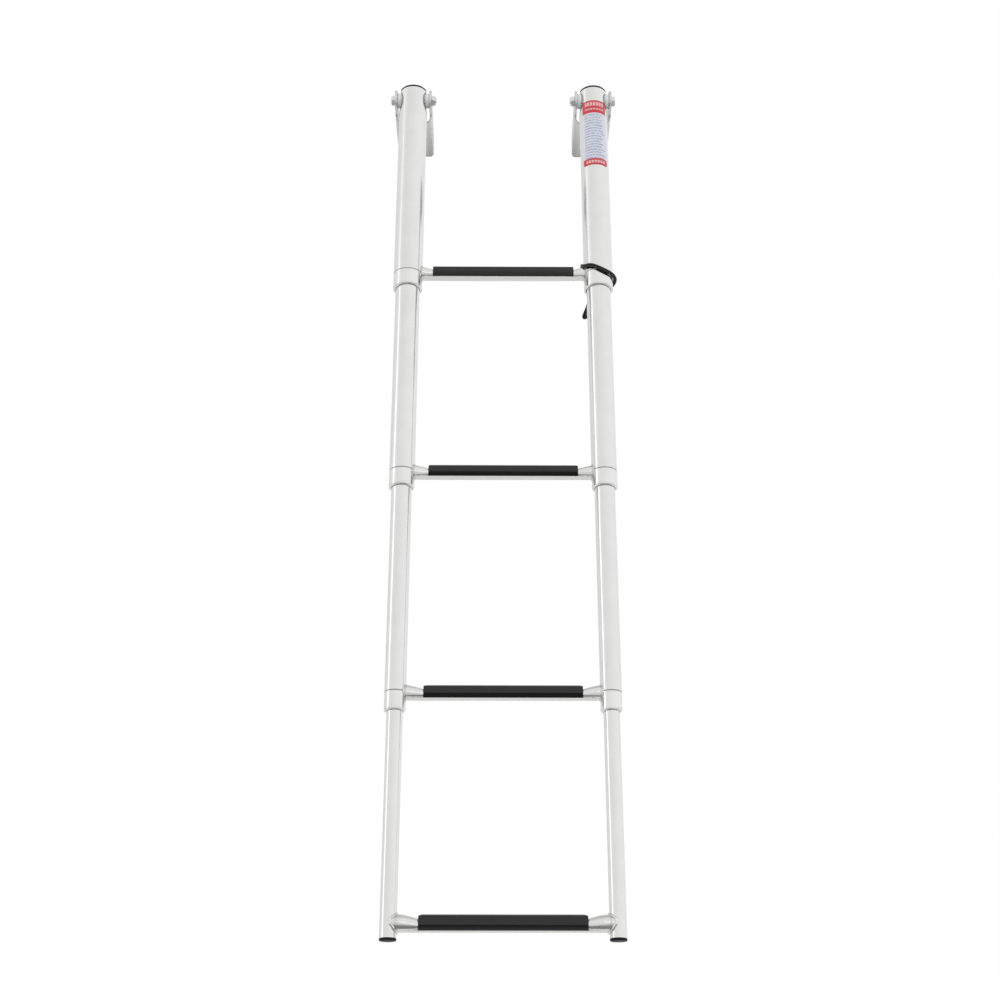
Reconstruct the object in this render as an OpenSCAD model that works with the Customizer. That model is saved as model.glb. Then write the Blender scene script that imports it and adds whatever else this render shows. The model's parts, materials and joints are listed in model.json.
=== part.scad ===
// Telescoping boarding ladder for a swim platform, shown hanging and fully drawn out.
// Frame: +Z up, +X to the right of a climber facing the boat, +Y towards the boat.
// Origin: centre of the eight deck bolts, on the deck plane that both brackets stand on.

/* [Rails] */
// Distance between the centre lines of the two rails
rail_spacing = 250; // [220:5:320]
// Outside diameter of the top pair of tubes
top_tube_d = 38.1; // [38.1:0.1:40]
// Step in outside diameter from each section to the next one down
tube_step = 6.35; // [6.2:0.05:6.5]
// Wall thickness of every rail tube
tube_wall = 1.5; // [1.2:0.1:1.6]

/* [Rungs] */
// Drop from the pivot axis to the centre of the first rung
first_drop = 283; // [283:1:330]
// Drop from the first rung to the second
second_drop = 290; // [200:1:290]
// Drop from the second rung to the third
third_drop = 283; // [200:1:292]
// Drop from the third rung to the fourth
fourth_drop = 260; // [200:1:292]
// Width of the flat on the top and bottom of a rung
rung_flat = 4; // [3:0.5:5]
// Height of the upper three rungs where they meet the rails
rung_h = 17; // [16:0.5:19]
// Height of the bottom rung where it meets the rails
bottom_rung_h = 19; // [18:0.5:20]
// Length of the black tread on each rung
tread_len = 184.5; // [150:0.5:190]

/* [Collars] */
// Height of a collar
collar_h = 23; // [22:0.5:26]
// Drop from the centre of the first rung to the top of its collars
top_collar_drop = 4; // [2:0.5:4]
// Length of a nylon guide bush
bush_len = 20; // [16:1:20]
// Length of a nylon stop ring
stop_len = 9; // [6:0.1:9.2]

/* [Brackets] */
// Height of the pivot axis above the deck
pivot_h = 22.5; // [22.5:0.5:30]
// Distance from the pivot axis back to the centre of the deck bolts
pivot_to_bolts = 61; // [58:1:70]
// Distance from the pivot axis back to the rear edge of a bracket
bracket_reach = 95; // [92:1:110]
// Gap between the two ears of a bracket
ear_gap = 44.6; // [44:0.2:48]
// Thickness of the bracket plate
plate_t = 3; // [2.5:0.5:3]
// Radius of an ear round the pivot
ear_r = 14; // [12:0.5:15]
// Deck bolt spacing across one bracket
bolt_spacing_x = 22; // [20:1:26]
// Deck bolt spacing along one bracket
bolt_spacing_y = 36; // [30:1:38]
// Diameter of a deck bolt hole
bolt_hole_d = 6.6; // [5.5:0.1:7]

/* [Retaining cord] */
// Thickness of the rubber cord
cord_d = 5.6; // [4:0.2:5.6]

/* [Hidden] */
$fn = 96;

steel = "gainsboro";
nylon = "whitesmoke";
black = "#18181a";

rail_x = rail_spacing / 2;
pivot_y = -pivot_to_bolts;
drops = [first_drop, second_drop, third_drop, fourth_drop];
// Height of rung i's centre, counted from 0 at the top
function rung_z(i) = pivot_h - sum_drops(i);
function sum_drops(i) = i == 0 ? drops[0] : drops[i] + sum_drops(i - 1);
// Outside and inside radius of the tubes of section i
function tube_r(i) = top_tube_d / 2 - i * tube_step / 2;
function bore_r(i) = tube_r(i) - tube_wall;

fit_gap = 0.02;                     // gap drawn between pieces that are pressed or welded together
slide_gap = 0.1;                    // radial gap of each sliding fit
stub = 10.5;                        // tube above the pivot axis
foot_drop = 16;                     // bottom tube below the centre of its rung
collar_lip = 3;                     // collar below its bush
// Height of the seam between the tube of section i and its collar
function seam_z(i) = rung_z(i) - (i == 0 ? top_collar_drop : 0);
// Height of the top of section i's tube, when its stop ring rests on the bush in the section above
function tube_top(i) = seam_z(i - 1) - collar_h + collar_lip + bush_len + 0.2 + stop_len;
lip_round = 1.2;                    // bevel round the lower edge of a collar

// Radius of rung i's rounded front and back, where it meets the rails and in its pressed middle
function rung_r(i) = (i == 3 ? bottom_rung_h : rung_h) / 2;
function core_r(i) = rung_r(i) - 2.7;
rung_back = 1.5;                    // rung's centre line behind the rails' axes
core_flat = rung_flat + 0.4;
core_drop = 1.9;
keel_angle = 30;                    // half angle of the bare strip left under the tread
press_run = 18;                     // length of the slope at each end of the pressed middle
rung_reach = rail_x - 2;

bolt_r = 4;                         // pivot bolt, M8
bolt_gap = 0.2;
hex_across = 13;
head_h = 5.3;
nut_h = 6.5;
spacer_r = 10;
dimple_x = 14.5;                    // flat of the pressed dimple, from the tube's axis
dimple_r = 9;
dimple_slope = 0.6;                 // growth of the dimple's radius for each mm outwards
notch_r = 27;                       // notch in the bracket's base, round the tube
ear_front = 13.5;                   // start of the base behind the pivot axis
bend_r = 5;                         // outer bend of the bracket plate

// A 2-D outline drawn in the Y-Z plane, extruded along X and centred on X = 0
module along_x(length) {
    rotate([90, 0, 90]) linear_extrude(length, center = true) children();
}

module at_rail(side) {
    translate([side * rail_x, pivot_y, 0]) children();
}

module pipe(outer_r, inner_r, low, high) {
    translate([0, 0, low]) difference() {
        cylinder(h = high - low, r = outer_r);
        translate([0, 0, -1]) cylinder(h = high - low + 2, r = inner_r);
    }
}

// ---- brackets, bolts and spacers ----

// Cross-section of the bent channel, in X-Z
module channel_section(half_w, round, low, high) {
    translate([-half_w, low + round]) square([2 * half_w, high - low - round]);
    translate([-half_w + round, low]) square([2 * (half_w - round), round + 1]);
    for (side = [-1, 1]) translate([side * (half_w - round), low + round]) circle(round);
}

// Side view of an ear, in Y-Z with the pivot axis at 0,0: a flat-edged outline whose front is
// then trimmed to a round about the pivot
module ear_profile() {
    reach = norm([ear_front, pivot_h]);
    front_turn = 8;             // turn past the tangent, so the front edge meets the round at a corner
    tangent = atan2(-pivot_h, ear_front) - acos(ear_r / reach) + front_turn;
    low = ear_r * [cos(tangent), sin(tangent)];
    far = 2 * ear_r;
    rear_top = 6;
    corner = 12;
    difference() {
        polygon([[0, ear_r], [bracket_reach - corner, rear_top], [bracket_reach, rear_top - corner],
            [bracket_reach, -pivot_h], [ear_front, -pivot_h], low, 2 * low,
            [-far, -far], [-far, far], [0, far]]);
        difference() {
            polygon([[0, 0], 3 * low, [-far - 1, -2 * far], [-far - 1, far + 1], [0, far + 1]]);
            circle(ear_r);
        }
    }
}

module base_plan() {
    corner = 3;
    half_w = ear_gap / 2 + plate_t;
    difference() {
        union() {
            translate([-half_w, -ear_r - 1]) square([2 * half_w, bracket_reach + ear_r + 1 - corner]);
            translate([-half_w + corner, 0]) square([2 * (half_w - corner), bracket_reach]);
            for (side = [-1, 1])
                translate([side * (half_w - corner), bracket_reach - corner]) circle(corner);
        }
        circle(notch_r - 2 * plate_t);
    }
}

module bracket() {
    half_w = ear_gap / 2 + plate_t;
    color(steel) difference() {
        intersection() {
            translate([0, bracket_reach + 1, 0]) rotate([90, 0, 0])
                linear_extrude(bracket_reach + ear_r + 2) difference() {
                    channel_section(half_w, bend_r, -pivot_h, ear_r + 1);
                    channel_section(ear_gap / 2, bend_r - plate_t, plate_t - pivot_h, ear_r + 2);
                }
            along_x(2 * half_w + 1) ear_profile();
            translate([0, 0, -pivot_h - 1]) linear_extrude(pivot_h + ear_r + 3) union() {
                base_plan();
                for (side = [-1, 1])
                    translate([side * (half_w - plate_t / 2), 0]) square([plate_t, 3 * ear_r], center = true);
            }
        }
        rotate([0, 90, 0]) cylinder(h = 2 * half_w + 2, r = bolt_r + bolt_gap, center = true);
        translate([0, 0, -pivot_h - 1]) cylinder(h = plate_t + bend_r, r = notch_r);
        for (sx = [-1, 1], sy = [-1, 1])
            translate([sx * bolt_spacing_x / 2, pivot_to_bolts + sy * bolt_spacing_y / 2, -pivot_h - 1])
                cylinder(h = plate_t + 2, d = bolt_hole_d);
    }
}

// Everything on one pivot is drawn for the right rail and mirrored for the left
module both_pivots() {
    for (side = [0, 1]) mirror([side, 0, 0]) translate([rail_x, pivot_y, pivot_h]) children();
}

module pivot_bolts() {
    ear_out = ear_gap / 2 + plate_t;
    color(steel) both_pivots() {
        translate([ear_out, 0, 0]) rotate([0, 90, 0]) cylinder(h = head_h, d = hex_across / cos(30), $fn = 6);
        translate([-ear_out - nut_h - 0.5, 0, 0]) rotate([0, 90, 0])
            cylinder(h = 2 * ear_out + nut_h + 1, r = bolt_r);
    }
}

module pivot_lock_nuts() {
    ear_out = ear_gap / 2 + plate_t;
    hex_h = 4.8;
    color(steel) both_pivots() translate([-ear_out, 0, 0]) rotate([0, -90, 0]) difference() {
        union() {
            cylinder(h = hex_h, d = hex_across / cos(30), $fn = 6);
            cylinder(h = nut_h, r = hex_across / 2 - 0.8);
        }
        translate([0, 0, -1]) cylinder(h = nut_h + 2, r = bolt_r + fit_gap);
    }
}

// Spacers with a coned inner end that seats in the tube's dimple
module pivot_spacers() {
    low = dimple_x + slide_gap;
    seat_r = dimple_r - slide_gap;
    cone_h = (spacer_r - seat_r) / dimple_slope;
    color(nylon) both_pivots() for (side = [-1, 1]) rotate([0, side * 90, 0]) difference() {
        union() {
            translate([0, 0, low]) cylinder(h = cone_h, r1 = seat_r, r2 = spacer_r);
            translate([0, 0, low + cone_h]) cylinder(h = ear_gap / 2 - slide_gap - low - cone_h, r = spacer_r);
        }
        cylinder(h = ear_gap, r = bolt_r + slide_gap);
    }
}

// ---- rails ----

// The void of the two dimples that seat the spacers, moved inwards by shift
module dimples(shift) {
    deep = tube_r(0) + 2 - dimple_x + shift;
    for (side = [-1, 1]) rotate([0, side * 90, 0]) translate([0, 0, dimple_x - shift])
        cylinder(h = deep, r1 = dimple_r, r2 = dimple_r + dimple_slope * deep);
}

module top_tube(side) {
    low = seam_z(0) - pivot_h + fit_gap / 2;
    color(steel) translate([0, 0, pivot_h]) at_rail(side) difference() {
        union() {
            difference() {
                pipe(tube_r(0), bore_r(0), low, stub);
                dimples(0);
            }
            difference() {
                intersection() {
                    translate([0, 0, -3 * ear_r]) cylinder(h = 3 * ear_r + stub, r = tube_r(0));
                    dimples(1.2 * tube_wall);
                }
                dimples(0);
            }
        }
        rotate([0, 90, 0]) cylinder(h = 3 * tube_r(0), r = bolt_r + bolt_gap, center = true);
    }
}

// Tube of section i, from its stop ring to its lower end
module inner_tube(i, side) {
    low = i == 3 ? rung_z(3) - foot_drop : seam_z(i) + fit_gap / 2;
    color(steel) at_rail(side) pipe(tube_r(i), bore_r(i), low, tube_top(i));
}

module collar(i, side) {
    bottom = seam_z(i) - collar_h;
    color(steel) at_rail(side) difference() {
        union() {
            translate([0, 0, bottom + lip_round])
                cylinder(h = collar_h - lip_round - fit_gap / 2, r = tube_r(i));
            translate([0, 0, bottom]) cylinder(h = lip_round, r1 = tube_r(i) - lip_round / 2, r2 = tube_r(i));
        }
        translate([0, 0, bottom - 1]) cylinder(h = collar_h + 2, r = bore_r(i));
    }
}

// Nylon bush inside collar i, which guides the tube of section i + 1
module bush(i, side) {
    low = seam_z(i) - collar_h + collar_lip;
    color(black) at_rail(side) pipe(bore_r(i) - fit_gap, tube_r(i + 1) + slide_gap, low, low + bush_len);
}

// Nylon ring round the top of both tubes of section i, which stops them on the bush above
module stop_rings(i) {
    high = tube_top(i);
    color(black) for (side = [-1, 1]) at_rail(side)
        pipe(bore_r(i - 1) - slide_gap, tube_r(i) + fit_gap, high - stop_len, high);
}

module top_plug(side) {
    flange_h = 3;
    flange_w = 33.8;                // width left between the dimples at the tube's top
    skirt_w = 21.5;
    color(black) translate([0, 0, pivot_h + stub]) at_rail(side) {
        intersection() {
            translate([0, 0, fit_gap]) union() {
                cylinder(h = flange_h / 2, r = tube_r(0) - 0.2);
                translate([0, 0, flange_h / 2]) cylinder(h = flange_h / 2, r1 = tube_r(0) - 0.2, r2 = tube_r(0) - 2);
            }
            cube([flange_w, 3 * tube_r(0), 4 * flange_h], center = true);
        }
        intersection() {
            translate([0, 0, -4.5]) cylinder(h = 5, r = bore_r(0) - slide_gap);
            cube([skirt_w, 3 * tube_r(0), 4 * flange_h], center = true);
        }
    }
}

module foot(side) {
    flange_h = 3;
    color(black) translate([0, 0, rung_z(3) - foot_drop]) at_rail(side) {
        translate([0, 0, -flange_h / 2 - fit_gap]) cylinder(h = flange_h / 2, r = tube_r(3));
        translate([0, 0, -flange_h - fit_gap]) cylinder(h = flange_h / 2, r1 = tube_r(3) - 1.2, r2 = tube_r(3));
        translate([0, 0, -flange_h / 2]) cylinder(h = 12, r = bore_r(3) - fit_gap);
    }
}

// ---- rungs and treads ----

// Flat-sided oval in Y-Z
module oval(round, flat) {
    square([flat, 2 * round], center = true);
    for (side = [-1, 1]) translate([side * flat / 2, 0]) circle(round);
}

module pressed_core(i, inset) {
    translate([0, -core_drop]) oval(core_r(i) - inset, core_flat);
}

// Half width of the strip of the full oval that stays bare below the tread
function keel_half(i) = rung_flat / 2 + rung_r(i) * sin(keel_angle);

module keel(i, inset) {
    intersection() {
        oval(rung_r(i) - inset, rung_flat);
        translate([-keel_half(i) + inset, -rung_r(i)]) square([2 * (keel_half(i) - inset), 4]);
    }
}

// Outside of rung i for inset 0, and its hollow for inset = wall
module rung_form(i, inset) {
    step_x = tread_len / 2 + inset;
    floor_z = core_r(i) - core_drop - inset;
    full_r = rung_r(i);
    along_x(2 * step_x) {
        pressed_core(i, inset);
        keel(i, inset);
    }
    difference() {
        along_x(2 * rung_reach) oval(full_r - inset, rung_flat);
        cube([2 * step_x, 6 * full_r, 4 * full_r], center = true);
        for (side = [0, 1]) mirror([side, 0, 0]) rotate([90, 0, 0])
            linear_extrude(6 * full_r, center = true)
                polygon([[step_x - 1, floor_z], [step_x, floor_z],
                    [step_x + press_run, full_r - inset], [step_x + press_run, 2 * full_r],
                    [step_x - 1, 2 * full_r]]);
    }
}

module rung(i) {
    color(steel) translate([0, pivot_y, rung_z(i)]) difference() {
        translate([0, rung_back, 0]) difference() {
            rung_form(i, 0);
            rung_form(i, tube_wall);
        }
        for (side = [-1, 1]) translate([side * rail_x, 0, -rung_h])
            cylinder(h = 2 * rung_h, r = tube_r(i) + fit_gap);
    }
}

// C-shaped tread clipped over the pressed middle of the rung, flush with the rung's ends
module tread(i) {
    color(black) translate([0, pivot_y + rung_back, rung_z(i)]) along_x(tread_len - 2 * fit_gap) difference() {
        oval(rung_r(i), rung_flat);
        translate([0, -core_drop]) oval(core_r(i) + fit_gap, core_flat);
        translate([-keel_half(i) - fit_gap, -rung_r(i) - 1])
            square([2 * (keel_half(i) + fit_gap), 5]);
    }
}

// ---- cord and label ----

// Centre line of the cord, as it lies round the right rail and over the top rung's end:
// angle 0 is outboard, 90 behind the rail, 180 over the rung and 270 in front of the rail
function cord_point(a) =
    let (over = pow((1 - cos(a)) / 2, 2), behind = (1 + sin(a)) / 2)
    [
        24 * cos(a) * (1 - 0.75 * pow(behind, 6)) - 17 * pow(behind, 12),
        3.5 + 25.5 * sin(a),
        22 * over - 9.5 - 46 * pow(behind, 7)
    ];

// Ring of points round the cord where its centre line passes angle a
function cord_ring(a, sides) =
    let (along = cord_point(a + 1) - cord_point(a - 1),
        outward = [cos(a), sin(a), 0],
        across = cross(along, outward) / norm(cross(along, outward)),
        out = cross(across, along) / norm(cross(across, along)))
    [for (i = [0 : sides - 1])
        cord_point(a) + cord_d / 2 * (cos(i * 360 / sides) * out + sin(i * 360 / sides) * across)];

module retaining_cord() {
    steps = 48;
    sides = 12;
    points = [for (k = [0 : steps - 1]) each cord_ring(k * 360 / steps, sides)];
    faces = [for (k = [0 : steps - 1], i = [0 : sides - 1])
        let (here = k * sides, next = (k + 1) % steps * sides, j = (i + 1) % sides)
        each [[here + i, here + j, next + j], [here + i, next + j, next + i]]];
    color(black) translate([0, 0, rung_z(0)]) at_rail(1) polyhedron(points, faces);
}

module information_label() {
    half_angle = 54;
    label_top = -13;
    label_h = 108;
    film_t = 0.2;
    color("lightgray") translate([0, 0, pivot_h]) at_rail(1) intersection() {
        pipe(tube_r(0) + fit_gap + film_t, tube_r(0) + fit_gap, label_top - label_h, label_top);
        translate([0, 0, label_top - label_h - 1]) linear_extrude(label_h + 2)
            polygon([[0, 0], 30 * [-sin(half_angle), -cos(half_angle)], [0, -60],
                30 * [sin(half_angle), -cos(half_angle)]]);
    }
}

translate([0, 0, pivot_h]) at_rail(-1) bracket();  // left_bracket
translate([0, 0, pivot_h]) at_rail(1) bracket();  // right_bracket
pivot_bolts();
pivot_lock_nuts();
pivot_spacers();
top_tube(-1);  // left_top_tube
top_tube(1);  // right_top_tube
top_plug(-1);  // left_top_plug
top_plug(1);  // right_top_plug
collar(0, -1);  // left_top_collar
collar(0, 1);  // right_top_collar
rung(0);  // top_rung
tread(0);  // top_tread
bush(0, -1);  // left_top_bush
bush(0, 1);  // right_top_bush
retaining_cord();
information_label();
inner_tube(1, -1);  // left_second_tube
inner_tube(1, 1);  // right_second_tube
collar(1, -1);  // left_second_collar
collar(1, 1);  // right_second_collar
rung(1);  // second_rung
tread(1);  // second_tread
bush(1, -1);  // left_second_bush
bush(1, 1);  // right_second_bush
stop_rings(1);  // second_stop_rings
inner_tube(2, -1);  // left_third_tube
inner_tube(2, 1);  // right_third_tube
collar(2, -1);  // left_third_collar
collar(2, 1);  // right_third_collar
rung(2);  // third_rung
tread(2);  // third_tread
bush(2, -1);  // left_third_bush
bush(2, 1);  // right_third_bush
stop_rings(2);  // third_stop_rings
inner_tube(3, -1);  // left_bottom_tube
inner_tube(3, 1);  // right_bottom_tube
rung(3);  // bottom_rung
tread(3);  // bottom_tread
stop_rings(3);  // bottom_stop_rings
foot(-1);  // left_foot
foot(1);  // right_foot
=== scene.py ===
import json
import math

import bmesh
import bpy
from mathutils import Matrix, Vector


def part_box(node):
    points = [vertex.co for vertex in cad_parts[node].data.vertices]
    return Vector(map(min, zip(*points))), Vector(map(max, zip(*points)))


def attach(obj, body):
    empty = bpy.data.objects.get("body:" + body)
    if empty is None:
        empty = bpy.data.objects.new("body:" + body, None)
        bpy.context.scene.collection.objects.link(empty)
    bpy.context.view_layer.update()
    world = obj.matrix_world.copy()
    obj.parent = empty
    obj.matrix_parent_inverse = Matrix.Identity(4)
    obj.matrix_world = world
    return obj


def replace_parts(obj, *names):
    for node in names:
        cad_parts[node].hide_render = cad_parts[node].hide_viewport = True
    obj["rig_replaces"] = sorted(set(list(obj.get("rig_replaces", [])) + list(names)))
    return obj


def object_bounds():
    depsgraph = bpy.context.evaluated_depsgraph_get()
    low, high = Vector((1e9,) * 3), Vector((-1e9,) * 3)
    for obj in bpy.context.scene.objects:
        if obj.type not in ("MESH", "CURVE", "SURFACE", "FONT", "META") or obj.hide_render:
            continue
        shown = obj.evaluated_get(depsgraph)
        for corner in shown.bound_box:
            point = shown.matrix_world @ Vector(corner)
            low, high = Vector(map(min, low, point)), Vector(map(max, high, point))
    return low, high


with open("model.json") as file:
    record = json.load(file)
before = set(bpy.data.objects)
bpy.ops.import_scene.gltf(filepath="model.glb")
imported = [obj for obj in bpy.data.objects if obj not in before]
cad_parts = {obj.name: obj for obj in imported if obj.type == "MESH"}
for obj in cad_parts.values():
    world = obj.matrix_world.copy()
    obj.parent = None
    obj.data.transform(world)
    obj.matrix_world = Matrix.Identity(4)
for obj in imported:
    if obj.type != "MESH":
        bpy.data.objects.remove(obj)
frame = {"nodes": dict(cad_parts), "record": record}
cad_lo, cad_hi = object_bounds()

# Telescoping boarding ladder. Lengths are in metres; a value written with MM is in millimetres.
MM = 0.001
SECTIONS = ("top", "second", "third", "bottom")
SIDES = {"left": -1, "right": 1}
BODY_OF = {node: body for body, nodes in frame["record"]["behaviour"]["bodies"].items() for node in nodes}

WALL = 1.5 * MM                 # wall of every rail tube
FIT_GAP = 0.02 * MM             # gap between pieces that are pressed together
SLIDE_GAP = 0.1 * MM            # gap between pieces that slide on each other
SMOOTH_ANGLE = math.radians(38)


# ---- sizes read from the frame ----

def centre_of(node):
    low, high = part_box(node)
    return (low + high) / 2


def size_of(node):
    low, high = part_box(node)
    return high - low


def rail_axis(side):
    return centre_of(f"{side}_bottom_tube").xy


def tube_radius(section):
    return size_of(f"left_{section}_tube").y / 2


def next_radius(section):
    """Radius of the tube that slides into this section."""
    return tube_radius(SECTIONS[SECTIONS.index(section) + 1])


def pivot():
    return centre_of("pivot_spacers").yz


# ---- mesh helpers ----

def make_piece(name, verts, faces, nodes, slot, materials, sharp=SMOOTH_ANGLE):
    """A mesh object that stands for the CAD nodes given and rides on the body of the first one."""
    mesh = bpy.data.meshes.new(name)
    mesh.from_pydata([tuple(v) for v in verts], [], faces)
    shape = bmesh.new()
    shape.from_mesh(mesh)
    bmesh.ops.recalc_face_normals(shape, faces=shape.faces)
    shape.to_mesh(mesh)
    shape.free()
    mesh.shade_smooth()
    mesh.set_sharp_from_angle(angle=sharp)
    for material in materials:
        mesh.materials.append(material)
    piece = bpy.data.objects.new(name, mesh)
    bpy.context.scene.collection.objects.link(piece)
    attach(piece, BODY_OF[nodes[0]])
    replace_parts(piece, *nodes)
    return piece


def skin(rings, closed=False, caps=True):
    """Vertices and faces of the surface through equal rings of points. A closed one joins its last ring
    to its first, and caps close the two ends with a fan round each end's middle."""
    count = len(rings[0])
    verts = [point for ring in rings for point in ring]
    faces = []
    rows = len(rings) if closed else len(rings) - 1
    for row in range(rows):
        here, above = row * count, (row + 1) % len(rings) * count
        for k in range(count):
            after = (k + 1) % count
            faces.append((here + k, here + after, above + after, above + k))
    if caps and not closed:
        for ring, start in ((rings[0], 0), (rings[-1], (len(rings) - 1) * count)):
            middle = len(verts)
            verts.append(sum((Vector(p) for p in ring), Vector()) / count)
            faces += [(start + k, start + (k + 1) % count, middle) for k in range(count)]
    return verts, faces


def joined(*parts):
    """One list of vertices and faces from several."""
    verts, faces = [], []
    for part_verts, part_faces in parts:
        faces += [tuple(i + len(verts) for i in face) for face in part_faces]
        verts += part_verts
    return verts, faces


def turned(profile, axis, steps=128):
    """Rings of a shape turned about a vertical axis, from a closed profile of (radius, height) points."""
    return [[Vector((axis[0] + r * math.cos(a), axis[1] + r * math.sin(a), z))
             for a in (math.tau * k / steps for k in range(steps))] for r, z in profile]


def sweep(path, radius_at, outward, sides=12):
    """A closed tube along a closed path. radius_at(k) is its radius at point k, and outward(k) points
    away from the middle of the loop there."""
    rings = []
    for k in range(len(path)):
        along = (path[(k + 1) % len(path)] - path[k - 1]).normalized()
        across = along.cross(outward(k)).normalized()
        out = across.cross(along)
        rings.append([path[k] + radius_at(k) * (math.cos(a) * out + math.sin(a) * across)
                      for a in (math.tau * i / sides for i in range(sides))])
    return skin(rings, closed=True)


def soft_min(a, b, width):
    """The smaller of a and b, rounded over where they are within width of each other."""
    share = max(0.0, 1 - abs(a - b) / width)
    return min(a, b) - share * share * width / 4


def round_edge(radius, corner, steps=6):
    """(inset, height) points of a quarter round of that radius, going from a side wall to a flat end."""
    inset, height = corner
    return [(inset + radius * (1 - math.cos(a)), height + radius * math.sin(a))
            for a in (math.pi / 2 * k / steps for k in range(steps + 1))]


def mark(piece, name, value_at):
    """Stores value_at(co), 0 to 1, at each vertex under a name that the materials read."""
    attribute = piece.data.attributes.new(name, "FLOAT", "POINT")
    for vertex, item in zip(piece.data.vertices, attribute.data):
        item.value = value_at(vertex.co)


def near(distance, width):
    """1 at no distance, falling to 0 at width."""
    share = max(0.0, 1 - abs(distance) / width)
    return share * share * (3 - 2 * share)


def ease(value, start, end):
    """0 before start, 1 after end, smooth between."""
    share = min(1.0, max(0.0, (value - start) / (end - start)))
    return share * share * (3 - 2 * share)


# ---- shader helpers ----

class Nodes:
    """Adds nodes to a tree. Inputs are given by name, or as i0, i1 and so on, as values or as other nodes'
    sockets."""

    def __init__(self, tree):
        self.tree = tree
        tree.nodes.clear()

    def add(self, kind, output=0, settings=(), **inputs):
        node = self.tree.nodes.new("ShaderNode" + kind)
        for key, value in dict(settings).items():
            setattr(node, key, value)
        for key, value in inputs.items():
            by_number = key[0] == "i" and key[1:].isdigit()
            socket = node.inputs[int(key[1:]) if by_number else key.replace("_", " ")]
            if isinstance(value, bpy.types.NodeSocket):
                self.tree.links.new(value, socket)
            else:
                socket.default_value = value
        return node.outputs[output] if node.outputs else node

    def maths(self, operation, a, b=0.0):
        return self.add("Math", settings={"operation": operation}, i0=a, i1=b)

    def smooth(self, value, low, high, to_low=0.0, to_high=1.0):
        """value's smooth passage from low to high, as to_low to to_high."""
        return self.add("MapRange", settings={"interpolation_type": "SMOOTHSTEP"}, Value=value,
                        From_Min=low, From_Max=high, To_Min=to_low, To_Max=to_high)

    def mix(self, share, a, b):
        return self.add("MixRGB", i0=share, i1=a, i2=b)

    def noise(self, where, scale, detail=3.0, stretch=(1, 1, 1)):
        """Noise of about 0 to 1; stretch multiplies the scale along x, y and z."""
        placed = self.add("Mapping", Vector=where, Scale=stretch)
        return self.add("TexNoise", Vector=placed, Scale=scale, Detail=detail)

    def stripe(self, value, middle, half_width):
        """1 where value is within half_width of middle, with soft edges."""
        off = self.maths("ABSOLUTE", self.maths("SUBTRACT", value, middle))
        return self.smooth(off, half_width * 1.1, half_width * 0.9)

    def ray_is(self, kind):
        """1 for rays of one kind: Camera, Glossy and so on."""
        return self.add("LightPath").node.outputs[f"Is {kind} Ray"]

    def bump(self, height, strength, distance, normal=None):
        inputs = {"Height": height, "Strength": strength, "Distance": distance}
        if normal is not None:
            inputs["Normal"] = normal
        return self.add("Bump", **inputs)


def colour(r, g, b):
    return (r, g, b, 1.0)


def new_material(name):
    material = bpy.data.materials.new(name)
    material.use_nodes = True
    nodes = Nodes(material.node_tree)
    where = nodes.add("TexCoord", output=3)
    return material, nodes, where


def finish_material(nodes, **inputs):
    surface = nodes.add("BsdfPrincipled", **inputs)
    nodes.add("OutputMaterial", Surface=surface)


# ---- materials ----

def steel(name, base, roughness, grain, grain_depth, spread=0.06):
    """Stainless steel: fine lines along grain, faint handling smudges, and a near-black colour where the
    darkening attribute is high: painted shade in dimples and at lips, and dark joint lines.
    """
    material, nodes, where = new_material(name)
    lines = nodes.noise(where, 900, 2, grain)
    smudges = nodes.noise(where, 38, 4)
    ripple = nodes.noise(where, 60, 1, tuple(0.3 + 0.7 * g for g in grain))
    shade_and_dirt = nodes.add("Attribute", output=2, settings={"attribute_name": "shade_and_dirt"})
    clean = nodes.mix(nodes.smooth(smudges, 0.35, 0.7), colour(*(c * 0.965 for c in base)), colour(*base))
    # Painted shade and dark joint lines: the colour goes near black where the darkening attribute is high.
    tone = nodes.mix(shade_and_dirt, clean, colour(0.045, 0.045, 0.05))
    rough = nodes.maths("ADD", nodes.smooth(smudges, 0.3, 0.75, roughness, roughness + spread),
                        nodes.maths("MULTIPLY", lines, 0.05))
    rough = nodes.maths("ADD", rough, nodes.maths("MULTIPLY", shade_and_dirt, 0.25))
    wavy = nodes.bump(ripple, strength=0.25, distance=0.03 * MM)
    normal = nodes.bump(lines, strength=0.3, distance=grain_depth, normal=wavy)
    finish_material(nodes, Base_Color=tone, Metallic=1.0, Roughness=rough, Normal=normal)
    return material


def white_nylon():
    """Milky turned nylon with fine rings round its axis."""
    material, nodes, where = new_material("white_nylon")
    turning = nodes.noise(where, 500, 2, (3.0, 0.2, 0.2))
    clouds = nodes.noise(where, 120, 3)
    tone = nodes.mix(clouds, colour(0.72, 0.755, 0.775), colour(0.80, 0.825, 0.84))
    rough = nodes.smooth(clouds, 0.3, 0.7, 0.34, 0.5)
    finish_material(nodes, Base_Color=tone, Roughness=rough, Subsurface_Weight=0.12,
                    Subsurface_Scale=2 * MM, Normal=nodes.bump(turning, strength=0.3, distance=0.05 * MM))
    return material


def black_plastic(name, base, roughness, grain_scale, grain_depth, specular=0.4):
    """Moulded black plastic or rubber with a fine grain and cloudy patches."""
    material, nodes, where = new_material(name)
    grain = nodes.noise(where, grain_scale, 3)
    clouds = nodes.noise(where, 90, 3)
    tone = nodes.mix(clouds, colour(*base), colour(*(c * 1.7 for c in base)))
    rough = nodes.smooth(clouds, 0.3, 0.7, roughness, roughness + 0.12)
    finish_material(nodes, Base_Color=tone, Roughness=rough, Specular_IOR_Level=specular,
                    Normal=nodes.bump(grain, strength=0.5, distance=grain_depth))
    return material


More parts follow.
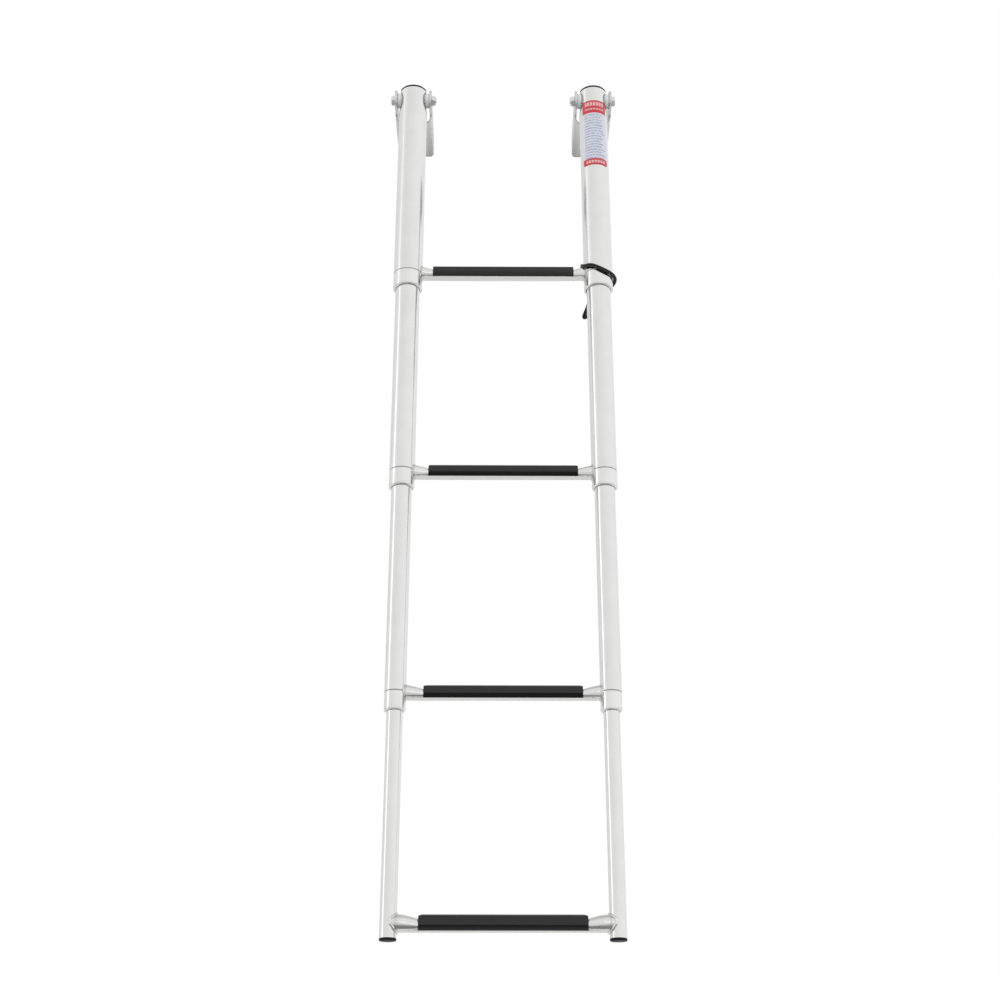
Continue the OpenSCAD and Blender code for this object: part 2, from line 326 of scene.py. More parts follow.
def tread_plastic():
    """Glossy black extrusion with fine die lines along it and faint scuffs."""
    material, nodes, where = new_material("black_tread")
    die_lines = nodes.noise(where, 1500, 2, (0.01, 1, 1))
    scuffs = nodes.noise(where, 220, 5, (0.4, 1, 1))
    tone = nodes.mix(scuffs, colour(0.0015, 0.0015, 0.002), colour(0.005, 0.005, 0.0055))
    rough = nodes.smooth(scuffs, 0.3, 0.75, 0.09, 0.17)
    finish_material(nodes, Base_Color=tone, Roughness=rough, Specular_IOR_Level=0.42,
                    Normal=nodes.bump(die_lines, strength=0.3, distance=0.02 * MM))
    return material


def printed_lines(nodes, across, down):
    """Ragged ruled lines, darker and lighter along their length, in place of small print."""
    lines_on_film, left_margin, right_margin, ragged_share = 24, 0.1, 0.93, 0.22
    rows = nodes.maths("MULTIPLY", down, lines_on_film)
    in_row = nodes.maths("FRACT", rows)
    row = nodes.maths("FLOOR", rows)
    ink = nodes.maths("MULTIPLY", nodes.smooth(in_row, 0.15, 0.3), nodes.smooth(in_row, 0.8, 0.65))
    row_spot = nodes.add("CombineXYZ", X=nodes.maths("MULTIPLY", across, 7.0), Y=row, Z=0.0)
    dashes = nodes.add("TexNoise", Vector=row_spot, Scale=2.7, Detail=1.0)
    ragged = nodes.add("TexWhiteNoise", settings={"noise_dimensions": "1D"}, W=row)
    line_end = nodes.maths("SUBTRACT", right_margin, nodes.maths("MULTIPLY", ragged, ragged_share))
    shown = nodes.maths("MULTIPLY", nodes.maths("LESS_THAN", across, line_end),
                        nodes.maths("GREATER_THAN", across, left_margin))
    return nodes.maths("MULTIPLY", nodes.maths("MULTIPLY", ink, shown),
                       nodes.smooth(dashes, 0.36, 0.5, 0.35, 1.0))


def printed_blocks(nodes, across, down):
    """Rows of nine plain blocks: two in the top band and one in the low band."""
    rows = nodes.maths("ADD", nodes.stripe(down, 0.055, 0.03), nodes.stripe(down, 0.952, 0.02))
    rows = nodes.maths("ADD", rows, nodes.stripe(down, 0.135, 0.012))
    from_gap = nodes.maths("PINGPONG", nodes.maths("FRACT", nodes.maths("MULTIPLY", across, 9.0)), 0.5)
    blocks = nodes.maths("MULTIPLY", rows, nodes.smooth(from_gap, 0.06, 0.16))
    inside = nodes.maths("MULTIPLY", nodes.smooth(across, 0.12, 0.15), nodes.smooth(across, 0.9, 0.87))
    return nodes.maths("MULTIPLY", blocks, inside)


def label_film():
    """Printed film: a red band at each end, and a pale field of plain ruled lines between them."""
    material, nodes, _ = new_material("label_film")
    on_film = nodes.add("TexCoord", output=2)
    across = nodes.add("SeparateXYZ", Vector=on_film)
    down = across.node.outputs[1]
    pale = nodes.mix(printed_lines(nodes, across, down), colour(0.60, 0.62, 0.70), colour(0.33, 0.35, 0.46))
    red = nodes.mix(nodes.maths("MULTIPLY", printed_blocks(nodes, across, down), 0.62),
                    colour(0.50, 0.012, 0.03), colour(0.80, 0.60, 0.60))
    band = nodes.maths("ADD", nodes.maths("LESS_THAN", down, 0.195),
                       nodes.maths("GREATER_THAN", down, 0.905))
    clouds = nodes.noise(on_film, 9, 3)
    rough = nodes.smooth(clouds, 0.3, 0.7, 0.25, 0.4)
    finish_material(nodes, Base_Color=nodes.mix(band, pale, red), Coat_Weight=0.3, Coat_Roughness=0.06,
                    Roughness=rough, Normal=nodes.bump(clouds, strength=0.2, distance=0.05 * MM))
    return material


TUBE_STEEL = steel("tube_steel", base=(0.71, 0.71, 0.695), roughness=0.11, grain=(1, 1, 0.02),
                   grain_depth=0.012 * MM)
COLLAR_STEEL = steel("collar_steel", base=(0.73, 0.73, 0.72), roughness=0.12, grain=(0.12, 0.12, 1),
                     grain_depth=0.02 * MM)
RUNG_STEEL = steel("rung_steel", base=(0.70, 0.70, 0.685), roughness=0.15, grain=(0.04, 1, 1),
                   grain_depth=0.02 * MM, spread=0.1)
BRACKET_STEEL = steel("bracket_steel", base=(0.64, 0.65, 0.63), roughness=0.36, grain=(1, 1, 0.6),
                      grain_depth=0.05 * MM, spread=0.12)
FASTENER_STEEL = steel("fastener_steel", base=(0.68, 0.69, 0.70), roughness=0.22, grain=(1, 1, 1),
                       grain_depth=0.03 * MM, spread=0.12)
WHITE_NYLON = white_nylon()
BLACK_NYLON = black_plastic("black_nylon", base=(0.012, 0.012, 0.013), roughness=0.4, grain_scale=700,
                            grain_depth=0.05 * MM)
BLACK_TREAD = tread_plastic()
BLACK_PLUG = black_plastic("black_plug", base=(0.006, 0.005, 0.012), roughness=0.45, grain_scale=900,
                           grain_depth=0.04 * MM, specular=0.12)
BLACK_RUBBER = black_plastic("black_rubber", base=(0.010, 0.011, 0.010), roughness=0.38, grain_scale=1200,
                             grain_depth=0.06 * MM, specular=0.3)
LABEL_FILM = label_film()


# ---- rails ----

PIVOT_HEIGHT = pivot()[1]
DIMPLE_X = 14.5 * MM            # flat of each pressed dimple, from the tube's axis
DIMPLE_R = 9.0 * MM
DIMPLE_SLOPE = 0.6              # growth of the dimple's radius for each unit outwards
DIMPLE_TAIL = 1.9               # the same growth below the pivot, where the pressing runs out slowly
DIMPLE_BLEND = 3.0 * MM         # width of the soft edge where dimple and tube meet
LIP_GAP = 0.25 * MM             # gap between a collar's rolled lip and the tube that slides in it
SEAM_BEVEL = 0.35 * MM          # bevel on each side of the joint between a tube and its collar
SEAM_INSET = 0.8 * SEAM_BEVEL
SEAM_RINGS = (0.9 * MM, 1.4 * MM)   # rings beside a joint, which keep its dirt line narrow
SEAM_DIRT_WIDTH = 1.2 * MM
HOLE_R = 4.2 * MM               # pivot bolt's hole in a rail


def seam_dirt(distance):
    """Dirt at a distance from the joint between a tube and its collar."""
    return 0.6 * near(distance, SEAM_DIRT_WIDTH)


def dimpled(x, y, height, inset):
    """x moved inwards to the pressed dimple, where the tube wall at y and height off the pivot has one."""
    off_axis = math.hypot(y, height)
    below = max(0.0, -height / off_axis) if off_axis > 0 else 0.0
    slope = DIMPLE_SLOPE + (DIMPLE_TAIL - DIMPLE_SLOPE) * below ** 1.5
    limit = DIMPLE_X - inset + max(0.0, off_axis - DIMPLE_R) / slope
    return math.copysign(soft_min(abs(x), limit, DIMPLE_BLEND), x)


def top_tube_ring(side, radius, z, inset, steps=160):
    """Points round a top tube at height z. inset moves the flats of its dimples inwards."""
    axis = rail_axis(side)
    ring = []
    for k in range(steps):
        angle = math.tau * k / steps
        x, y = radius * math.cos(angle), radius * math.sin(angle)
        ring.append(Vector((axis.x + dimpled(x, y, z - PIVOT_HEIGHT, inset), axis.y + y, z)))
    return ring


def cut_bolt_hole(piece):
    """Drills the pivot bolt's hole through both dimples of a tube."""
    centre = Vector((centre_of(piece["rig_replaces"][0]).x, *pivot()))
    reach = Vector((25 * MM, 0, 0))
    steps = 48
    rings = []
    for end in (centre - reach, centre + reach):
        rings.append([end + HOLE_R * Vector((0, math.cos(a), math.sin(a)))
                      for a in (math.tau * k / steps for k in range(steps))])
    mesh = bpy.data.meshes.new("drill")
    verts, faces = skin(rings)
    mesh.from_pydata([tuple(v) for v in verts], [], faces)
    drill = bpy.data.objects.new("drill", mesh)
    bpy.context.scene.collection.objects.link(drill)
    shape = bmesh.new()
    shape.from_mesh(mesh)
    bmesh.ops.recalc_face_normals(shape, faces=shape.faces)
    shape.to_mesh(mesh)
    shape.free()
    cut = piece.modifiers.new("hole", "BOOLEAN")
    cut.operation = "DIFFERENCE"
    cut.object = drill
    cut.solver = "EXACT"
    scene_state = bpy.context.evaluated_depsgraph_get()
    drilled = bpy.data.meshes.new_from_object(piece.evaluated_get(scene_state))
    piece.modifiers.clear()
    piece.data = drilled
    bpy.data.objects.remove(drill)


def build_top_tube(side):
    """The widest tube: a dimple on each side seats a spacer, and the bolt passes through both."""
    node = f"{side}_top_tube"
    low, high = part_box(node)
    outer, inner = tube_radius("top"), tube_radius("top") - WALL
    press_low, press_high = PIVOT_HEIGHT - 30 * MM, high.z - 0.3 * MM
    plain_steps, pressed_steps = 24, 90
    edge = 0.2 * MM
    heights = [low.z + rise for rise in (SEAM_BEVEL, *SEAM_RINGS)]
    heights += [low.z + (press_low - low.z) * k / plain_steps for k in range(1, plain_steps)]
    heights += [press_low + (press_high - press_low) * k / pressed_steps for k in range(pressed_steps + 1)]
    rings = [top_tube_ring(side, outer - SEAM_INSET, low.z, 0)]
    rings += [top_tube_ring(side, outer, z, 0) for z in heights]
    rings += [top_tube_ring(side, outer - edge, high.z, edge)]
    rings += [top_tube_ring(side, inner, z, WALL) for z in [high.z] + heights[::-1] + [low.z]]
    piece = make_piece(f"{side}_top_rail", *skin(rings, closed=True), [node], "tube_steel",
                       [TUBE_STEEL])
    cut_bolt_hole(piece)
    piece.data.shade_smooth()
    piece.data.set_sharp_from_angle(angle=SMOOTH_ANGLE)
    axis = rail_axis(side)
    shade_reach, shaded_depth = 2 * DIMPLE_R, 0.9 * MM

    # Painted shade in the pressed dimples round the bolt, darkest where a dimple is deepest, and a dark
    # line at the joint with the collar.
    def shade_and_dirt(co):
        off_bolt = math.hypot(co.y - axis.y, co.z - PIVOT_HEIGHT)
        on_side = near(off_bolt, shade_reach) if abs(co.x - axis.x) < outer - edge else 0.0
        pressed = math.sqrt(max(0.0, outer ** 2 - (co.y - axis.y) ** 2)) - abs(co.x - axis.x)
        depth = min(1.0, max(0.0, pressed / shaded_depth))
        return max(0.95 * depth * min(1.0, 2.2 * on_side), seam_dirt(co.z - low.z))

    mark(piece, "shade_and_dirt", shade_and_dirt)


def build_inner_tube(side, section):
    """A tube that slides in the one above, with broken edges."""
    node = f"{side}_{section}_tube"
    low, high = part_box(node)
    radius = tube_radius(section)
    span, steps = high.z - low.z, 16
    edge = 0.4 * MM
    profile = [(radius - SEAM_INSET, low.z)]
    profile += [(radius, low.z + rise) for rise in (SEAM_BEVEL, *SEAM_RINGS)]
    profile += [(radius, low.z + span * k / steps) for k in range(1, steps)]
    profile += [(radius, high.z - edge), (radius - edge, high.z)]
    profile += [(radius - WALL, high.z), (radius - WALL, low.z)]
    rings = turned(profile, rail_axis(side))
    piece = make_piece(f"{side}_{section}_rail", *skin(rings, closed=True), [node], "tube_steel",
                       [TUBE_STEEL])
    if section != "bottom":
        mark(piece, "shade_and_dirt", lambda co: seam_dirt(co.z - low.z))


def build_collar(side, section):
    """Sleeve under a tube: bevelled joint at the top, and a lower lip rolled in round the next tube."""
    node = f"{side}_{section}_collar"
    low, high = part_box(node)
    radius, bore = tube_radius(section), tube_radius(section) - WALL
    lip_end = next_radius(section) + LIP_GAP
    roll, reach = 1.5 * MM, radius - lip_end
    lip_thickness = 0.5 * MM
    straight, steps = high.z - low.z - 4 * MM, 8
    profile = [(radius - SEAM_INSET, high.z)]
    profile += [(radius, high.z - drop) for drop in (SEAM_BEVEL, *SEAM_RINGS)]
    profile += [(radius, high.z - SEAM_RINGS[-1] - straight * k / steps) for k in range(1, steps)]
    profile += [(radius - reach * inset, low.z + roll * (1 - drop))
                for inset, drop in round_edge(1.0, (0, 0), 8)]
    profile += [(lip_end, low.z + lip_thickness), (bore, low.z + roll), (bore, high.z)]
    rings = turned(profile, rail_axis(side))
    piece = make_piece(f"{side}_{section}_sleeve", *skin(rings, closed=True), [node], "collar_steel",
                       [COLLAR_STEEL])
    # A dark line at the joint with the tube above, and a faint painted shade where the lip starts to roll
    # in towards the next tube.
    mark(piece, "shade_and_dirt", lambda co: max(seam_dirt(co.z - high.z),
                                        0.1 * near(co.z - low.z - roll, 0.6 * MM)))


def build_bush(side, section):
    """Nylon guide in the collar, bevelled at all four rims."""
    node = f"{side}_{section}_bush"
    low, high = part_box(node)
    outer, inner = size_of(node).y / 2, next_radius(section) + SLIDE_GAP
    edge = 0.35 * MM
    profile = [(inner, low.z + edge), (inner + edge, low.z), (outer - edge, low.z),
               (outer, low.z + edge), (outer, high.z - edge), (outer - edge, high.z),
               (inner + edge, high.z), (inner, high.z - edge)]
    make_piece(f"{side}_{section}_guide", *skin(turned(profile, rail_axis(side)), closed=True), [node],
               "black_nylon", [BLACK_NYLON])


def build_stop_rings(section):
    """The pair of nylon rings round the tops of one section's tubes, each with a bevelled lower edge."""
    node = f"{section}_stop_rings"
    low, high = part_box(node)
    outer = rail_axis("left").x - low.x
    inner = tube_radius(section) + FIT_GAP
    edge = 0.6 * MM
    profile = [(inner, low.z), (outer - edge, low.z), (outer, low.z + edge), (outer, high.z - edge / 2),
               (outer - edge / 2, high.z), (inner, high.z)]
    pair = [skin(turned(profile, rail_axis(side)), closed=True) for side in SIDES]
    make_piece(f"{section}_stops", *joined(*pair), [node], "black_nylon", [BLACK_NYLON])


def build_top_plug(side):
    """Pushed-in plug whose flange follows the pinched top of the tube, with a low dome."""
    node = f"{side}_top_plug"
    low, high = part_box(node)
    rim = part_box(f"{side}_top_tube")[1].z
    radius = tube_radius("top")
    round_over = 0.5 * MM

    def ring(inset, z):
        axis = rail_axis(side).to_3d()
        return [axis.xy.to_3d() + (p.xy.to_3d() - axis) * (1 - inset / radius) + Vector((0, 0, z))
                for p in top_tube_ring(side, radius, rim, 0)]

    skirt_inset, skirt_taper = 1.8 * MM, 1.2 * MM
    flange_inset, crown = 0.1 * MM, 0.15 * MM
    flange_low, flange_top = rim + FIT_GAP, high.z - crown
    rings = [ring(skirt_inset + skirt_taper, low.z), ring(skirt_inset, low.z + 1.5 * MM),
             ring(skirt_inset, flange_low), ring(0.3 * MM, flange_low), ring(flange_inset, rim + 0.3 * MM)]
    rings += [ring(flange_inset + inset, flange_top - round_over + rise)
              for inset, rise in round_edge(round_over, (0, 0))]
    rings += [ring(share * radius, flange_top + crown * share * (2 - share)) for share in (0.3, 0.6, 0.85)]
    make_piece(f"{side}_cap", *skin(rings), [node], "black_plug", [BLACK_PLUG])


def build_foot(side):
    """Plug in the lower end of a rail, with a disc that stands proud and is slightly crowned."""
    node = f"{side}_foot"
    low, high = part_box(node)
    tube_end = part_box(f"{side}_bottom_tube")[0].z
    radius = size_of(node).y / 2
    plug = radius - WALL - FIT_GAP
    round_under, crown = 0.9 * MM, 0.4 * MM
    profile = [(plug - 1 * MM, high.z), (plug, high.z - 1.5 * MM), (plug, tube_end - FIT_GAP),
               (radius - 0.2 * MM, tube_end - FIT_GAP), (radius, tube_end - 0.3 * MM)]
    profile += [(radius - inset, low.z + crown + round_under - drop)
                for inset, drop in round_edge(round_under, (0, 0))]
    profile += [(radius * share, low.z + crown * share ** 2) for share in (0.8, 0.6, 0.4, 0.2)]
    make_piece(f"{side}_end_cap", *skin(turned(profile, rail_axis(side))), [node], "black_plug",
               [BLACK_PLUG])


# ---- rungs and treads ----

CORE_DROP = 1.9 * MM            # centre of the pressed middle below the centre of the rung
CORE_INSET = 2.7 * MM           # its end radius, less than the rung's own
CORE_EXTRA_FLAT = 0.2 * MM
KEEL_ANGLE = math.radians(30)   # half angle of the bare strip below the tread
PRESS_RUN = 18 * MM             # slope at each end of the pressed middle
RING = 120                      # points round a rung
RUNG_CREASES = tuple(math.radians(a) for a in (-88, -48, 20))
TREAD_CREASES = tuple(math.radians(a) for a in (-60, -17, 38))
SADDLE_ROUND = 2 * MM           # rounding of the rung's end where it meets the side of the rail


class RungShape:
    """Sizes of one section's rung, read from the boxes of the rung and its tread."""

    def __init__(self, section):
        self.rail = rail_axis("right")
        self.rail_radius = tube_radius(section)
        tread_low, tread_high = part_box(f"{section}_tread")
        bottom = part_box(f"{section}_rung")[0].z
        self.centre = Vector((0, (tread_low.y + tread_high.y) / 2, (tread_high.z + bottom) / 2))
        self.round = (tread_high.z - bottom) / 2
        self.flat = (tread_high.y - tread_low.y) / 2 - self.round
        self.core = (self.round - CORE_INSET, self.flat + CORE_EXTRA_FLAT)
        self.keel = self.flat + self.round * math.sin(KEEL_ANGLE)
        self.step_x = (tread_high.x - tread_low.x) / 2
        self.back = self.centre.y - self.rail.y

    def rail_surface(self, y, inset):
        """Height of the rail's surface above its axis, towards the rung, where the rung is at y."""
        height = math.sqrt(max((self.rail_radius - inset) ** 2 - (y + self.back) ** 2, 0.0))
        return math.hypot(height, SADDLE_ROUND)


def stadium(count, half_round, half_flat):
    """Evenly spaced (y, z) points round a flat-sided oval, the lower flat first, starting at its front."""
    arc, run = math.pi * half_round, 2 * half_flat
    points = []
    for k in range(count):
        s = (k + 0.5) / count * 2 * (arc + run)
        if s < run:
            points.append((s - half_flat, -half_round))
        elif s < run + arc:
            a = (s - run) / half_round - math.pi / 2
            points.append((half_flat + half_round * math.cos(a), half_round * math.sin(a)))
        elif s < 2 * run + arc:
            points.append((half_flat - (s - run - arc), half_round))
        else:
            a = (s - 2 * run - arc) / half_round + math.pi / 2
            points.append((-half_flat + half_round * math.cos(a), half_round * math.sin(a)))
    return points


def creased(y, z, shape, creases, share):
    """A point of the oval's front or back moved towards flat faces that meet in creases. The creases are
    angles above the horizontal, in order."""
    angle = math.atan2(z, abs(y) - shape.flat)
    for low, high in zip(creases, creases[1:]):
        if low <= angle <= high:
            middle, half = (low + high) / 2, (high - low) / 2
            chord = math.cos(half) / math.cos(angle - middle)
            pull = 1 - share * (1 - chord)
            return math.copysign(shape.flat + (abs(y) - shape.flat) * pull, y), z * pull
    return y, z


def rung_section(distance, shape):
    """(y, z) outline of a rung at a distance from its middle: a slim core and the bare keel below it under
    the tread, growing past the tread into an oval with a soft crease low on its front and back."""
    run = min(1.0, max(0.0, (distance - shape.step_x) / PRESS_RUN))
    opened = run + 0.3 * run * (1 - run)
    full, core = stadium(RING, shape.round, shape.flat), stadium(RING, *shape.core)
    outline = []
    for (y, z), (core_y, core_z) in zip(full, core):
        is_keel = z < 0 and abs(y) < shape.keel
        pressed_y, pressed_z = (y, z) if is_keel else (core_y, core_z - CORE_DROP)
        full_y, full_z = creased(y, z, shape, RUNG_CREASES, 0.45)
        outline.append((pressed_y + opened * (full_y - pressed_y),
                        pressed_z + opened * (full_z - pressed_z)))
    return outline


def rung_end(side, shape):
    """Rings from the end of the pressed middle to the rail, whose surface the last ring but one follows.
    The last ring closes the end just under that surface."""
    stations = 16
    start = shape.step_x + 0.05 * MM
    full = rung_section(shape.step_x + PRESS_RUN, shape)
    ends = [shape.rail.x - shape.rail_surface(y, 0.3 * MM) for y, _ in full]
    shrink = 0.9
    known = {}

    def section_at(x):
        key = round(x / MM, 1)
        if key not in known:
            known[key] = rung_section(key * MM, shape)
        return known[key]

    rings = []
    for station in range(stations + 1):
        places = [start + (end - start) * station / stations for end in ends]
        rings.append([Vector((side * x, *section_at(x + 0.1 * MM)[k])) for k, x in enumerate(places)])
    limit = shape.rail_radius - 0.6 * MM
    closing = []
    for point in rings[-1]:
        y = max(-limit, min(limit, shrink * point.y + shape.back)) - shape.back
        x = shape.rail.x - shape.rail_surface(y, 0.2 * MM) + 0.4 * MM
        closing.append(Vector((side * x, y, shrink * point.z)))
    return rings + [closing]


def build_rung(section):
    """Oval tube, pressed thinner under its tread, with a shaped end and a weld at each rail."""
    node = f"{section}_rung"
    shape = RungShape(section)
    middle_x = shape.step_x + 0.04 * MM
    middle = [[Vector((side * middle_x, y, z)) for y, z in rung_section(0, shape)] for side in (-1, 1)]
    left, right = rung_end(-1, shape), rung_end(1, shape)
    lumpy = section == "bottom"
    verts, faces = joined(skin(left[::-1] + middle + right),
                          weld(left[-2], -1, lumpy), weld(right[-2], 1, lumpy))
    piece = make_piece(f"{section}_step", [shape.centre + v for v in verts], faces, [node], "rung_steel",
                       [RUNG_STEEL], math.radians(50))
    weld_x = shape.rail.x - shape.rail_radius + 1.2 * MM
    # Darker steel in a narrow band along each weld.
    mark(piece, "shade_and_dirt", lambda co: 0.25 * near(abs(co.x) - weld_x, 2.2 * MM))


def weld(ring, side, lumpy):
    """A rippled bead along the line where a rung's end meets the rail."""
    size = (1.5 if lumpy else 1.0) * MM
    ripple = 0.12 if lumpy else 0.05
    ripples = 14
    path = []
    for p in ring:
        away = Vector((0, p.y, p.z)).normalized()
        path.append(p + 0.25 * size * away - Vector((side * 0.35 * size, 0, 0)))

    def radius_at(k):
        turn = math.tau * k / len(path)
        return size * (1 + ripple * math.sin(ripples * turn) * (0.6 + 0.4 * math.sin(3 * turn + side)))

    def outward(k):
        return Vector((0, path[k].y, path[k].z))

    return sweep(path, radius_at, outward, sides=10)


def tread_station(x, shape, half_length):
    """Outside and inside outline of a tread at x. Its ends are eased, with the top corner cut off."""
    chamfer_run, chamfer_drop, edge = 4.0 * MM, 2.2 * MM, 0.5 * MM
    count = 2 * RING
    end = half_length - abs(x)
    top = shape.round - chamfer_drop * max(0.0, 1 - end / chamfer_run)
    eased = 1 - (edge - math.sqrt(max(0.0, edge ** 2 - max(0.0, edge - end) ** 2))) / shape.round
    full, core = stadium(count, shape.round, shape.flat), stadium(count, *shape.core)
    outer, inner = [], []
    for (y, z), (core_y, core_z) in zip(full, core):
        if z < 0 and abs(y) < shape.keel + 0.05 * MM:
            continue
        out_y, out_z = creased(y, z, shape, TREAD_CREASES, 0.8)
        out_z -= groove_depth(y, z, shape) if end > chamfer_run else 0.0
        out_z = soft_min(out_z, top, 0.6 * MM) if end < chamfer_run else out_z
        outer.append((out_y * eased, out_z * eased))
        inner.append((core_y * 1.006, core_z * 1.004 - CORE_DROP))
    return outer, inner


def groove_depth(y, z, shape):
    """Depth of the three shallow grip grooves along the top of a tread."""
    pitch, depth = 3.0 * MM, 0.4 * MM
    if z < 0.7 * shape.round or abs(y) > 1.5 * pitch:
        return 0.0
    return depth * max(0.0, math.cos(math.tau * y / pitch)) ** 2


def build_tread(section):
    """C-shaped extrusion clipped over the pressed middle, with grip grooves and creased sides."""
    node = f"{section}_tread"
    shape = RungShape(section)
    half_length = shape.step_x
    near_ends = [d * MM for d in (0, 0.08, 0.25, 0.5, 1.2, 2.2, 3.2, 3.9, 4.1, 6)]
    steps = 24
    span = half_length - near_ends[-1]
    stations = [-half_length + d for d in near_ends]
    stations += [span * (2 * k / steps - 1) for k in range(1, steps)]
    stations += [half_length - d for d in near_ends[::-1]]
    rings = []
    for x in stations:
        outer, inner = tread_station(x, shape, half_length)
        rings.append([shape.centre + Vector((x, y, z)) for y, z in outer + inner[::-1]])
    around, half = len(rings[0]), len(rings[0]) // 2
    verts, faces = skin(rings, caps=False)
    for start in (0, (len(rings) - 1) * around):
        faces += [(start + k, start + k + 1, start + around - 2 - k, start + around - 1 - k)
                  for k in range(half - 1)]
    make_piece(f"{section}_grip", verts, faces, [node], "black_tread", [BLACK_TREAD], math.radians(60))


# ---- brackets and fasteners ----

def build_bracket(side):
    """Bent channel with its cut edges broken, made from the CAD outline."""
    node = f"{side}_bracket"
    shape = bmesh.new()
    shape.from_mesh(frame["nodes"][node].data)
    bmesh.ops.remove_doubles(shape, verts=shape.verts, dist=0.005 * MM)
    bmesh.ops.dissolve_limit(shape, angle_limit=math.radians(0.5), verts=shape.verts, edges=shape.edges)
    sharp = [e for e in shape.edges
             if len(e.link_faces) == 2 and e.calc_face_angle() > math.radians(40)]
    bmesh.ops.bevel(shape, geom=sharp, offset=0.45 * MM, segments=3, profile=0.5, affect="EDGES",
                    clamp_overlap=True)
    bmesh.ops.triangulate(shape, faces=[f for f in shape.faces if len(f.verts) > 4])
    shape.verts.index_update()
    verts = [v.co.copy() for v in shape.verts]
    faces = [tuple(v.index for v in f.verts) for f in shape.faces]
    shape.free()
    piece = make_piece(f"{side}_hinge_bracket", verts, faces, [node], "bracket_steel", [BRACKET_STEEL],
                       math.radians(30))
    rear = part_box(node)[1].y
    # Darker towards the rear edge of the bracket, most at the edge itself.
    mark(piece, "shade_and_dirt", lambda co: 0.18 * near(co.y - rear, 40 * MM) + 0.25 * near(co.y - rear, 3 * MM))


HEX_ACROSS = 13 * MM            # bolt heads and nuts, across their flats
BOLT_R = 4 * MM
BOLT_END = 7 * MM               # bolt past the inboard ear, through the lock nut
THREAD_PITCH = 1.25 * MM
THREAD_DEPTH = 0.65 * MM
NUT_HEX_H = 4.8 * MM            # hexagon of a lock nut
NUT_H = 6.5 * MM                # whole lock nut, with its crimped collar
PLATE = 3 * MM                  # thickness of a bracket


def hex_radius(angle, across):
    """Distance from the middle to the side of a hexagon at an angle."""
    sixth = math.pi / 3
    return across / 2 / math.cos((angle + sixth / 2) % sixth - sixth / 2)


def cross_ring(x, y, z, radius_at, x_at=None, steps=96):
    """Ring of points round an axis along X; x_at(angle) can move each point along the axis."""
    ring = []
    for k in range(steps):
        angle = math.tau * k / steps
        r = radius_at(angle)
        ring.append(Vector((x_at(angle) if x_at else x, y + r * math.cos(angle), z + r * math.sin(angle))))
    return ring


def hex_block(start, thickness, direction, y, z):
    """Rings of a hexagon head or nut from its bearing face to its chamfered outer face."""
    flat = HEX_ACROSS / 2

    def side_end(angle):
        chamfer = max(0.0, hex_radius(angle, HEX_ACROSS) - flat + 0.25 * MM) * math.tan(math.radians(30))
        return start + direction * (thickness - chamfer)

    def side_start(angle):
        chamfer = max(0.0, hex_radius(angle, HEX_ACROSS) - flat) * math.tan(math.radians(15))
        return start + direction * (0.2 * MM + chamfer)

    def corner(angle):
        return hex_radius(angle, HEX_ACROSS)

    return [cross_ring(start, y, z, lambda a: flat * 0.96),
            cross_ring(start, y, z, corner, side_start),
            cross_ring(start, y, z, corner, side_end),
            cross_ring(start + direction * thickness, y, z, lambda a: flat * 0.95)]


def build_bolts():
    """Pivot bolts: chamfered hexagon heads outboard, plain shanks, and threaded tips inboard."""
    node = "pivot_bolts"
    y, z = pivot()
    pair = []
    for side, sign in SIDES.items():
        low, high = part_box(f"{side}_bracket")
        ear_out, ear_in = (high.x, low.x) if sign > 0 else (low.x, high.x)
        head = abs(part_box(node)[1 if sign > 0 else 0].x - ear_out)
        tip = ear_in - sign * BOLT_END
        rings = hex_block(ear_out, head, sign, y, z)[::-1]
        face = ear_out + sign * head
        rings = [cross_ring(face - sign * 0.25 * MM, y, z, lambda a: 0.55 * HEX_ACROSS / 2),
                 cross_ring(face, y, z, lambda a: 0.66 * HEX_ACROSS / 2)] + rings
        rings.append(cross_ring(ear_out, y, z, lambda a: BOLT_R))
        thread_start = ear_in + sign * 4 * MM
        rings.append(cross_ring(thread_start, y, z, lambda a: BOLT_R))
        length, steps = abs(tip - thread_start), 90
        for k in range(1, steps):
            x = thread_start - sign * length * k / steps
            left = abs(tip - x)
            crest = min(BOLT_R, BOLT_R - 0.7 * MM + left)

            def thread(angle, x=x, crest=crest):
                phase = (x / THREAD_PITCH + sign * angle / math.tau) % 1.0
                return crest - THREAD_DEPTH * abs(2 * phase - 1)

            rings.append(cross_ring(x, y, z, thread))
        rings.append(cross_ring(tip, y, z, lambda a: BOLT_R - 1.1 * MM))
        pair.append(skin(rings))
    make_piece("hinge_bolts", *joined(*pair), [node], "fastener_steel", [FASTENER_STEEL])


